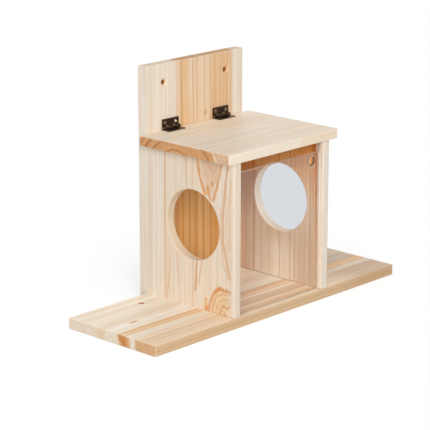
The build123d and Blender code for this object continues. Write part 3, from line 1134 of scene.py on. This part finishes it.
def base_board_finish() -> PineFinish:
    """The long board: pale behind, an orange band, then tan towards the front.

    Returns:
        Its finish.
    """
    stripes = (((across, 11, across - 1.4, 0), 1.3, (204, 160, 120), 0.5, 0.9, 0.3)
               for across in (-38, -41.6, -44.6, -48.6, -51.4, -55, -57.6, -60.8))
    faint = (((across, 11, across - 1, 0), 1, (232, 212, 190), 0.4, 0.9, 0.3)
             for across in (46, 39, 33.5, 24, 15, 8, -1))
    return PineFinish(
        name="pine_base_board",
        grain=Grain.LYING,
        seed=4.2,
        end_gain=0.1,
        staves=(
            Stave(-34.5, ((238, 216, 190), (234, 206, 172), (214, 174, 132), (236, 212, 184)),
                  (-230, 10, 0), (0.004, 0, 3.2), (0.4, 0.4)),
            Stave(54, ((242, 232, 218), (238, 220, 196), (226, 196, 158), (250, 246, 242)),
                  (180, 40, 0), (-0.012, 0, 4.6), (0.5, 0.5)),
        ),
        # Painted light in the house: the floor there is made brighter.
        inside=(1.13, 1.16, 1.1),
        inside_top=(1.13, 1.16, 1.1),
        streaks=(
            *streaks(-175, 175,
                     (-15.5, -16.5, 2.8, (220, 160, 92), 0.85), (-19.5, -20, 10.5, (232, 186, 130), 0.65, 4),
                     (-22.6, -23.4, 1.2, (224, 174, 118), 0.6), (48, 46, 3, (236, 212, 176), 0.5),
                     (24, 22, 2, (238, 216, 184), 0.5), (13.5, 13.5, 14, (228, 206, 176), 0.5),
                     (8.5, 9.5, 1.4, (220, 184, 144), 0.5), (36, 33, 5, (230, 206, 174), 0.5),
                     (31, 29, 1.4, (222, 186, 146), 0.45), (-6, -7, 1.2, (226, 196, 160), 0.4),
                     (-30, -30, 8, (236, 218, 194), 0.6), (-44, -43, 1.6, (206, 162, 118), 0.45),
                     (-52, -52.5, 2.4, (222, 192, 158), 0.45)),
            *streaks(-58, 60, (-12, -14, 7, (214, 160, 106), 0.7, 2)),
            *streaks(-58, 2, (12, 9, 3, (222, 170, 128), 0.7, 2)),
            *streaks(-60, 60,
                     (-32, -34, 9, (212, 162, 116), 0.7, 3), (-39, -41, 5, (204, 150, 100), 0.75, 3),
                     (-50, -51, 8, (208, 158, 108), 0.6, 3)),
        ),
        lines=(
            *bent(Cut.END,
                  ((-22.6, 12, -24.6, 5, -25.6, -1), 9, (216, 166, 112), 0.85, 0.6, 0.3),
                  ((-17, 12, -20.4, 6, -22.6, -1), 8, (206, 140, 76), 1.2, 0.3, 0.3),
                  ((-33.6, 12, -35, -1), 4, (238, 224, 208), 0.85, 0.5, 0.3), *stripes, *faint),
            # Painted highlight along the base's front top edge.
            *bent(Cut.FACE, ((-46, -61.8, 66, -61.8), 0.9, (252, 240, 224), 0.8, 0.7, 0)),
            *bent(Cut.EDGE,
                  ((-178, 8.2, -60, 7, 178, 8.6), 1.6, (226, 198, 168), 0.6, 0.9, 2),
                  ((-178, 4.6, 20, 5.8, 178, 4), 1.3, (196, 158, 118), 0.6, 0.9, 2),
                  ((-178, 2, -20, 2.6, 178, 1.4), 1.2, (222, 196, 168), 0.5, 0.9, 2)),
        ),
        seams=(Seam((-180, -1), (-180, 12), (208, 168, 118), 0.62),),
        knots=(Knot((-141, 0.3), (4.8, 1.4), (196, 140, 86)),),
        grain_and_light_patches=(
            # Painted shadow of the house on the right wing.
            Patch((150, 0), (66, 90), (168, 134, 98), 0.64),
            # Painted light on the floor within the house.
            Patch((8, 20), (44, 26), (250, 226, 204), 0.7),
        ),
        # The holes get painted shade in their countersinks and bores.
        holes=tuple(DrilledHole((along, 37), 3.6, (160, 104, 60)) for along in (-94.5, 94.5)),
    )


def lid_board_finish() -> PineFinish:
    """The lid: pale with soft waves on top, and brownish ends with slanting and arched growth lines.

    Returns:
        Its finish.
    """
    rows = (
        ((46.2, 174.5, 48.5, 170.3, 51.2, 166.6), 1.3, (176, 114, 68), 0.7),
        ((36.6, 174.5, 40.7, 170, 45, 165.1, 48, 162.5), 1.8, (166, 98, 50), 0.85),
        ((23.6, 174, 27.9, 170, 32.9, 166.6, 36.6, 162.5), 1.5, (172, 106, 60), 0.75),
        ((17, 162.5, 13.2, 165.6, 9, 167.2, 3.4, 167.4, -2.1, 166.6, -6, 165.4, -11, 162.5), 1.3,
         (182, 118, 70), 0.7),
        ((12, 162.5, 6.2, 165, -0.7, 163.8), 2.4, (216, 168, 118), 0.5),
        ((-28.2, 174.5, -32.2, 171.4, -34.9, 168.9, -37.6, 165.8, -39.8, 162.5), 1.4, (160, 100, 58), 0.85),
        ((-31.6, 174.5, -36, 171, -40.5, 165, -42, 162.5), 2.4, (196, 140, 94), 0.6),
        ((-41.6, 174.5, -46.6, 169, -50, 162.5), 2, (236, 208, 180), 0.7),
        ((-45, 174.5, -50.4, 168.4, -54, 162.5), 1.3, (196, 152, 116), 0.6),
        ((-51, 174.5, -56, 169, -59, 162.5), 1.1, (192, 150, 116), 0.55),
        ((-57, 174.5, -61, 169, -63.4, 162.5), 1.1, (194, 152, 118), 0.5),
        ((22, 172.6, 4, 172, -14, 172.6), 1, (190, 130, 82), 0.5),
    )
    waves = (
        ((-79, 27.5, -40, 26, 0, 27.8, 40, 24.4, 79, 25.2), 3, (208, 178, 144), 0.44),
        ((-79, 20, -30, 21.6, 20, 19, 79, 20.4), 2.2, (212, 184, 150), 0.32),
        ((-79, -13, -36, -15, 10, -12.6, 50, -15.6, 79, -14.8), 3.2, (210, 184, 150), 0.44),
        ((-79, 37, 0, 38.6, 79, 36), 2, (214, 188, 156), 0.36),
        ((-79, 4, 0, 6, 40, 3, 79, 4.6), 2.4, (214, 190, 156), 0.32),
        ((-79, -29, -30, -31.6, 20, -29, 79, -33), 3.4, (212, 186, 150), 0.44),
        ((-79, -40, 0, -42, 79, -41), 2.4, (216, 190, 156), 0.4),
        ((-79, -52, 0, -50.6, 79, -53), 3, (222, 198, 164), 0.4),
    )
    return PineFinish(
        name="pine_lid_board",
        grain=Grain.LYING,
        seed=5.6,
        staves=(
            Stave(-44.5, (PALE, STRAW, (200, 158, 118), (240, 220, 200)),
                  (-120, 130, 0), (0.01, 0, 3.4), (0.12, 0.3)),
            Stave(53.5, (PALE, (240, 222, 194), (186, 130, 84), (228, 184, 138)),
                  (4, 136, 0), (0.004, 0, 9), (0.05, 0.55)),
        ),
        # A faint, warm painted shade on the lid's underside.
        inside=(1.0, 0.98, 0.94),
        inside_top=(1.0, 0.98, 0.94),
        lines=(
            *bent(Cut.END, *((*row, 0.8, 0.5) for row in rows)),
            *bent(Cut.FACE, *((*wave, 0.95, 0) for wave in waves)),
        ),
        seams=(Seam((24.8, 173.5), (22.9, 165.5), (250, 238, 216), 0.7),
               Seam((22.9, 165.5), (24.8, 173.5), (250, 228, 200), 0.65)),
    )


@dataclass
class BoardWork:
    """Dresses the pine boards, which keep their CAD shape."""

    finishes: dict[str, PineFinish] = field(default_factory=lambda: {
        "back_panel": back_board_finish(),
        "left_side_panel": left_side_finish(),
        "right_side_panel": right_side_finish(),
        "base_board": base_board_finish(),
        "lid_board": lid_board_finish(),
    })

    def dress(self, nodes: dict[str, bpy.types.Object]) -> None:
        """Give each board its own cut of pine.

        Args:
            nodes: The CAD objects by name.
        """
        for name, finish in self.finishes.items():
            nodes[name].material_slots[0].material = finish.material(*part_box(name))
            LOG.info("%s dressed in %s with %d staves", name, finish.name, len(finish.staves))


@dataclass
class WindowWork:
    """Dresses the sliding window."""

    node: str = "front_window"
    finish: AcrylicFinish = AcrylicFinish("clear_acrylic")

    def dress(self, nodes: dict[str, bpy.types.Object]) -> None:
        """Give the sheet its clear finish."""
        nodes[self.node].material_slots[0].material = self.finish.material()
        LOG.info("%s dressed in %s", self.node, self.finish.name)


@dataclass
class HingeWork:
    """Dresses the two butt hinges: leaves and pins."""

    hands: tuple[str, ...] = ("left", "right")
    leaf_finish: MetalFinish = MetalFinish(
        "antique_bronze_plate", (74, 56, 42), (40, 30, 26), (78, 70, 66), (200, 172, 128), 0.34, 0.9)
    pin_finish: MetalFinish = MetalFinish(
        "antique_bronze_pin", (116, 94, 70), (60, 46, 38), (96, 88, 80), (214, 188, 142), 0.28, 0.8)

    def dress(self, nodes: dict[str, bpy.types.Object]) -> None:
        """Plate every leaf and pin.

        Args:
            nodes: The CAD objects by name.
        """
        plate, pin = self.leaf_finish.material(), self.pin_finish.material()
        for hand in self.hands:
            for part, metal in (("hinge_wall_leaf", plate), ("hinge_lid_leaf", plate), ("hinge_pin", pin)):
                nodes[f"{hand}_{part}"].material_slots[0].material = metal
            LOG.info("%s hinge dressed: two leaves and a pin", hand)


class Facing(Enum):
    """Which way a screw's head looks.

    Each value has the turn that brings the head there from +Z, the row's axis, the head's axis, and whether
    the head is on the high side of its CAD node's box.
    """

    UP = (NOWHERE, 0, 2, True)
    DOWN_ALONG_Y = ((math.pi, 0.0, math.pi / 2), 1, 2, False)
    FRONT = ((math.pi / 2, 0.0, 0.0), 0, 1, False)
    BACK = ((-math.pi / 2, 0.0, 0.0), 0, 1, True)
    BACK_ALONG_Z = ((-math.pi / 2, -math.pi / 2, 0.0), 2, 1, True)


@dataclass(frozen=True)
class ScrewSize:
    """A countersunk wood screw, in metres.

    Attributes:
        head: The head's radius.
        shank: The shank's radius.
        length: From the head's face to the tip.
        pitch: Between two turns of the thread.
        thread: How far the thread stands out.
    """

    head: float
    shank: float
    length: float
    pitch: float
    thread: float


class ScrewTree:
    """The node tree that lays a row of cross-recess screws."""

    blade_scales = ((0.85, 0.19, 1.0), (0.19, 0.85, 1.0))
    # Shares of the head's radius.
    blade_top = 0.95
    blade_bottom = 0.4
    blade_drop = 0.8
    # Shares of the shank's radius, and of the screw's length.
    thread_start = 0.35
    thread_end = 0.86
    thread_height = 0.62
    thread_drop = 0.97

    def __init__(self, size: ScrewSize) -> None:
        """Start a tree whose inputs have a screw's size as their defaults.

        Args:
            size: The screw's size.
        """
        self.tree = bpy.data.node_groups.new("screw_row", "GeometryNodeTree")
        self.bench = NodeBench(self.tree)
        self.keys: dict[str, str] = {}
        for name, kind, default in (
                ("Blank", "Object", None), ("Finish", "Material", None),
                ("Count", "Int", 1), ("Spacing", "Float", 0.01),
                ("Head Radius", "Float", size.head), ("Shank Radius", "Float", size.shank),
                ("Length", "Float", size.length), ("Pitch", "Float", size.pitch),
                ("Thread Height", "Float", size.thread),
                ("Place", "Vector", NOWHERE), ("Turn", "Vector", NOWHERE), ("Seed", "Int", 0)):
            socket = self.tree.interface.new_socket(
                name=name, in_out="INPUT", socket_type=f"NodeSocket{kind}")
            if default is not None:
                socket.default_value = default
            self.keys[name] = socket.identifier
        self.tree.interface.new_socket(name="Geometry", in_out="OUTPUT", socket_type="NodeSocketGeometry")
        self.given = self.bench.add("NodeGroupInput").outputs

    def build(self) -> None:
        """Build the tree: blank, recess, thread, row, then one real mesh with its material."""
        bench, given = self.bench, self.given
        blank = bench.add("GeometryNodeObjectInfo", {"Object": given["Blank"]})
        cut = bench.add("GeometryNodeMeshBoolean", {"Mesh 1": blank.outputs["Geometry"]},
                        operation="DIFFERENCE", solver="EXACT")
        for scale in self.blade_scales:
            bench.tree.links.new(self.blade(scale), cut.inputs["Mesh 2"])
        whole = bench.add("GeometryNodeJoinGeometry")
        for piece in (self.helix(), cut.outputs["Mesh"]):
            bench.tree.links.new(piece, whole.inputs[0])
        offset = bench.join(given["Spacing"], 0.0, 0.0)
        line = bench.add("GeometryNodeMeshLine", {"Count": given["Count"], "Offset": offset})
        spin = bench.add("FunctionNodeRandomValue", {"Seed": given["Seed"]}, data_type="FLOAT")
        for socket in spin.inputs:
            if socket.type == "VALUE" and socket.name in ("Min", "Max"):
                socket.default_value = 0.0 if socket.name == "Min" else math.pi / 2
        value = next(socket for socket in spin.outputs if socket.type == "VALUE")
        place = bench.add("GeometryNodeInstanceOnPoints", {
            "Points": line.outputs[0], "Instance": whole.outputs[0], "Rotation": bench.join(0.0, 0.0, value)})
        real = bench.add("GeometryNodeRealizeInstances", {0: place.outputs[0]})
        stand = bench.add("GeometryNodeTransform", {
            "Geometry": real.outputs[0], "Translation": given["Place"], "Rotation": given["Turn"]})
        dress = bench.add("GeometryNodeSetMaterial", {
            "Geometry": stand.outputs[0], "Material": given["Finish"]})
        bench.add("NodeGroupOutput", {0: dress.outputs[0]})

    def blade(self, scale: Triple) -> Socket:
        """Make one of the two tapered blades that cut the cross recess.

        Args:
            scale: Its stretch along X, Y and Z.

        Returns:
            The blade.
        """
        bench, head = self.bench, self.given["Head Radius"]
        cone = bench.add("GeometryNodeMeshCone", {
            "Vertices": 4, "Radius Top": bench.times(head, self.blade_top),
            "Radius Bottom": bench.times(head, self.blade_bottom), "Depth": head})
        sunk = bench.join(0.0, 0.0, bench.times(head, -self.blade_drop))
        return bench.add("GeometryNodeTransform", {
            "Geometry": cone.outputs["Mesh"], "Translation": sunk, "Scale": scale}).outputs[0]

    def helix(self) -> Socket:
        """Wind the thread round the lower part of the shank.

        Returns:
            The thread.
        """
        bench, shank, length = self.bench, self.given["Shank Radius"], self.given["Length"]
        height = bench.times(length, self.thread_height)
        spiral = bench.add("GeometryNodeCurveSpiral", {
            "Resolution": 16, "Rotations": bench.math("DIVIDE", height, self.given["Pitch"]),
            "Start Radius": bench.times(shank, self.thread_start),
            "End Radius": bench.times(shank, self.thread_end), "Height": height})
        ridge = bench.add("GeometryNodeCurvePrimitiveCircle", {
            "Resolution": 4, "Radius": self.given["Thread Height"]})
        swept = bench.add("GeometryNodeCurveToMesh", {
            "Curve": spiral.outputs[0], "Profile Curve": ridge.outputs[0], "Fill Caps": True})
        down = bench.join(0.0, 0.0, bench.times(length, -self.thread_drop))
        return bench.add("GeometryNodeTransform", {
            "Geometry": swept.outputs[0], "Translation": down}).outputs[0]


@dataclass(frozen=True)
class ScrewRow:
    """One row of screws that stands for a CAD node.

    Attributes:
        node: The CAD node.
        body: The body it rides on.
        slot: The name of the screws' material slot: zinc_screw or bronze_screw, which picks their metal.
        facing: Which way the heads look.
        seed: For the turns of the screws.
    """

    node: str
    body: str
    slot: str
    facing: Facing
    seed: int


@dataclass
class ScrewWork:
    """Makes every screw anew, with a cross recess and a thread."""

    board_size: ScrewSize = ScrewSize(0.0035, 0.00175, 0.030, 0.0016, 0.0004)
    hinge_size: ScrewSize = ScrewSize(0.0020, 0.0011, 0.008, 0.0009, 0.00022)
    zinc: MetalFinish = MetalFinish(
        "yellow_zinc_plate", (212, 206, 186), (178, 170, 148), (216, 198, 152), (232, 228, 214), 0.32, 0.4)
    bronze: MetalFinish = MetalFinish(
        "bronze_screw_plate", (158, 134, 104), (92, 74, 60), (132, 118, 102), (222, 198, 156), 0.3, 0.8)
    rim_height: float = 0.00026
    steps: int = 32
    crease: float = 32.0
    rows: tuple[ScrewRow, ...] = (
        ScrewRow("base_to_left_side_screws", "feeder_frame", "zinc_screw", Facing.DOWN_ALONG_Y, 11),
        ScrewRow("base_to_right_side_screws", "feeder_frame", "zinc_screw", Facing.DOWN_ALONG_Y, 12),
        ScrewRow("back_to_left_side_screws", "feeder_frame", "zinc_screw", Facing.BACK_ALONG_Z, 13),
        ScrewRow("back_to_right_side_screws", "feeder_frame", "zinc_screw", Facing.BACK_ALONG_Z, 14),
        ScrewRow("back_to_base_screws", "feeder_frame", "zinc_screw", Facing.BACK, 15),
        ScrewRow("left_hinge_wall_screws", "feeder_frame", "bronze_screw", Facing.FRONT, 16),
        ScrewRow("right_hinge_wall_screws", "feeder_frame", "bronze_screw", Facing.FRONT, 17),
        ScrewRow("left_hinge_lid_screws", "lid", "bronze_screw", Facing.UP, 18),
        ScrewRow("right_hinge_lid_screws", "lid", "bronze_screw", Facing.UP, 19),
    )

    def build(self) -> None:
        """Build each row and let it stand for its CAD node."""
        zinc, bronze = self.zinc.material(), self.bronze.material()
        for row in self.rows:
            board = row.slot == "zinc_screw"
            self.lay(row, self.board_size if board else self.hinge_size, zinc if board else bronze)

    def blank(self, size: ScrewSize) -> bpy.types.Object:
        """Turn the plain screw on a lathe: head, cone, shank and tip.

        Args:
            size: The screw's size.

        Returns:
            The blank, with its head's face at zero, looking up.
        """
        head, shank, length = size.head, size.shank, size.length
        profile = [
            (0.0, 0.0), (head * 0.9, 0.0), (head * 0.97, -0.00004), (head, -0.00014),
            (head, -self.rim_height), (shank * 1.05, -(head - shank) - self.rim_height),
            (shank * 0.98, -length * 0.36),
            (shank * 0.78, -length * 0.40), (shank * 0.74, -length * 0.86), (0.0, -length)]
        builder = bmesh.new()
        turns = [2 * math.pi * step / self.steps for step in range(self.steps)]
        rings = [[builder.verts.new((radius * math.cos(turn), radius * math.sin(turn), height))
                  for turn in (turns if radius else turns[:1])] for radius, height in profile]
        for upper, lower in zip(rings, rings[1:]):
            for step in range(self.steps):
                after = (step + 1) % self.steps
                if len(upper) == 1:
                    corners = (upper[0], lower[step], lower[after])
                elif len(lower) == 1:
                    corners = (upper[after], upper[step], lower[0])
                else:
                    corners = (upper[step], lower[step], lower[after], upper[after])
                builder.faces.new(corners)
        bmesh.ops.recalc_face_normals(builder, faces=builder.faces)
        mesh = bpy.data.meshes.new("screw_blank")
        builder.to_mesh(mesh)
        builder.free()
        return bpy.data.objects.new("screw_blank", mesh)

    def lay(self, row: ScrewRow, size: ScrewSize, finish: bpy.types.Material) -> None:
        """Lay one row where its CAD node is.

        Args:
            row: The row.
            size: The screw's size.
            finish: The material.
        """
        turn, along, out, is_high = row.facing.value
        low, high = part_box(row.node)
        span = high[along] - low[along]
        count = 2 if span > size.head * 3 else 1
        place = (low + high) / 2
        place[along] = low[along] + size.head
        place[out] = (high if is_high else low)[out]
        blank = self.blank(size)
        tree = ScrewTree(size)
        tree.build()
        holder = bpy.data.objects.new("screw_holder", bpy.data.meshes.new("screw_holder"))
        for thing in (blank, holder):
            bpy.context.scene.collection.objects.link(thing)
        layer = holder.modifiers.new("row", "NODES")
        layer.node_group = tree.tree
        values = {"Blank": blank, "Finish": finish, "Count": count, "Spacing": span - 2 * size.head,
                  "Place": place, "Turn": Vector(turn), "Seed": row.seed}
        for name, value in values.items():
            layer[tree.keys[name]] = value
        seen = holder.evaluated_get(bpy.context.evaluated_depsgraph_get())
        mesh = bpy.data.meshes.new_from_object(seen)
        mesh.shade_smooth()
        mesh.set_sharp_from_angle(angle=math.radians(self.crease))
        mesh.name = f"threaded_{row.node}"
        piece = bpy.data.objects.new(mesh.name, mesh)
        bpy.context.scene.collection.objects.link(piece)
        for thing in (blank, holder):
            bpy.data.objects.remove(thing)
        bpy.data.node_groups.remove(tree.tree)
        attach(piece, row.body)
        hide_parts(row.node)
        LOG.info("%s: %d screws, %d faces", piece.name, count, len(mesh.polygons))


@dataclass(frozen=True)
class Lamp:
    """A round soft lamp.

    Attributes:
        name: Its name.
        place: Where it hangs.
        width: Its diameter.
        power: In watts.
    """

    name: str
    place: Triple
    width: float
    power: float


@dataclass
class Studio:
    """The pale floor, the white surroundings, the soft lamps and the camera.

    Attributes:
        floor_radius: Of the round floor.
        floor_drop: How far it lies below the object.
        floor_shade: How pale it is.
        floor_glow: How much it glows, so that it looks white.
        floor_fade: Where its shadows start to fade and where it is plain white, from the middle.
        behind_sheet: The background's shade through the clear sheet.
        sky: How bright the surroundings are where they light the object.
        lamps: The soft lamps.
        aim: What they look at.
        camera_place: Where the camera stands.
        camera_turn: Its turn to the right of +Y, in radians.
        camera_dip: How far it looks down, in radians.
        camera_lens: In millimetres, on a sensor 36 mm wide.
    """

    floor_radius: float = 7.0
    floor_drop: float = 0.0002
    floor_shade: float = 0.62
    floor_glow: float = 0.5
    floor_fade: tuple[float, float] = (0.11, 0.3)
    behind_sheet: Rgb = (231, 233, 236)
    sky: float = 0.4
    lamps: tuple[Lamp, ...] = (
        Lamp("key", (-1.65, -1.6, 1.05), 1.5, 42.0),
        Lamp("top", (-0.25, -0.35, 2.1), 1.6, 8.0),
        Lamp("fill", (1.5, 1.4, 0.24), 1.2, 9.0),
    )
    aim: Triple = (0.0, 0.0, 0.09)
    camera_place: Triple = (-1.3381, -1.2373, 0.5989)
    camera_turn: float = 0.81371
    camera_dip: float = 0.273285
    camera_lens: float = 159.80

    def build(self) -> None:
        """Set up everything that isn't the object."""
        self.floor()
        self.surroundings()
        for lamp in self.lamps:
            self.hang(lamp)
        self.camera()
        bpy.context.scene.view_settings.view_transform = "Standard"
        LOG.info("studio set up")

    @staticmethod
    def backdrop_rays(bench: NodeBench) -> Socket:
        """Find the rays that show the background: to the camera, off gloss and through glass."""
        path = bench.add("ShaderNodeLightPath").outputs
        return bench.most(path["Is Camera Ray"], path["Is Glossy Ray"], path["Is Transmission Ray"])

    def backdrop_shade(self, bench: NodeBench) -> Socket:
        """Give the background's colour: white, and a little cooler and darker through the sheet."""
        through = bench.add("ShaderNodeLightPath").outputs["Is Transmission Ray"]
        return bench.blend(through, (255, 255, 255), self.behind_sheet)

    def floor(self) -> None:
        """Lay a round pale floor that looks white and keeps the object's shadow."""
        builder = bmesh.new()
        bmesh.ops.create_circle(builder, cap_ends=True, segments=96, radius=self.floor_radius)
        mesh = bpy.data.meshes.new("studio_floor")
        builder.to_mesh(mesh)
        builder.free()
        mesh.transform(Matrix.Translation((0.0, 0.0, -self.floor_drop)))
        floor = bpy.data.objects.new("studio_floor", mesh)
        bpy.context.scene.collection.objects.link(floor)
        material = new_material("studio_floor")
        bench = NodeBench(material.node_tree)
        tone = bench.line(bench.noise(bench.place(), 0.004), 0.02, self.floor_shade)
        matt = bench.add("ShaderNodeBsdfDiffuse", {"Color": bench.join(tone, tone, tone)})
        rays = self.backdrop_rays(bench)
        glow = bench.add("ShaderNodeEmission", {"Strength": bench.times(rays, self.floor_glow)})
        both = bench.add("ShaderNodeAddShader", {0: matt.outputs[0], 1: glow.outputs[0]})
        reach = bench.measure("LENGTH", bench.add("ShaderNodeTexCoord").outputs["Object"])
        plain = bench.add("ShaderNodeEmission", {"Color": self.backdrop_shade(bench)})
        bench.show(bench.mix_shaders(bench.times(bench.rise(reach, *self.floor_fade), rays), both, plain))
        mesh.materials.append(material)

    def surroundings(self) -> None:
        """Surround the object with an even light that looks white."""
        world = bpy.data.worlds.new("white_room")
        world.use_nodes = True
        bench = NodeBench(world.node_tree)
        strength = bench.line(self.backdrop_rays(bench), 1.0 - self.sky, self.sky)
        light = bench.add("ShaderNodeBackground", {"Color": self.backdrop_shade(bench), "Strength": strength})
        bench.add("ShaderNodeOutputWorld", {"Surface": light.outputs[0]})
        bpy.context.scene.world = world

    def hang(self, lamp: Lamp) -> None:
        """Hang one lamp that looks at the object.

        Args:
            lamp: The lamp.
        """
        light = bpy.data.lights.new(lamp.name, "AREA")
        light.shape = "DISK"
        light.size = lamp.width
        light.energy = lamp.power
        hung = bpy.data.objects.new(lamp.name, light)
        hung.location = lamp.place
        hung.rotation_euler = (Vector(self.aim) - Vector(lamp.place)).to_track_quat("-Z", "Y").to_euler()
        bpy.context.scene.collection.objects.link(hung)

    def camera(self) -> None:
        """Stand the camera where the photograph was taken from."""
        data = bpy.data.cameras.new("photo_camera")
        data.sensor_width = 36.0
        data.lens = self.camera_lens
        data.clip_end = 50.0
        camera = bpy.data.objects.new("photo_camera", data)
        camera.location = self.camera_place
        camera.rotation_euler = Euler((math.pi / 2 - self.camera_dip, 0.0, -self.camera_turn))
        bpy.context.scene.collection.objects.link(camera)
        bpy.context.scene.camera = camera


def main() -> None:
    """Load the frame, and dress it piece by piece."""
    logging.basicConfig(level=logging.INFO, format="%(name)s: %(message)s")
    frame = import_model()
    nodes = frame["nodes"]
    Studio().build()
    BoardWork().dress(nodes)
    WindowWork().dress(nodes)
    HingeWork().dress(nodes)
    ScrewWork().build()


if __name__ == "__main__":
    main()
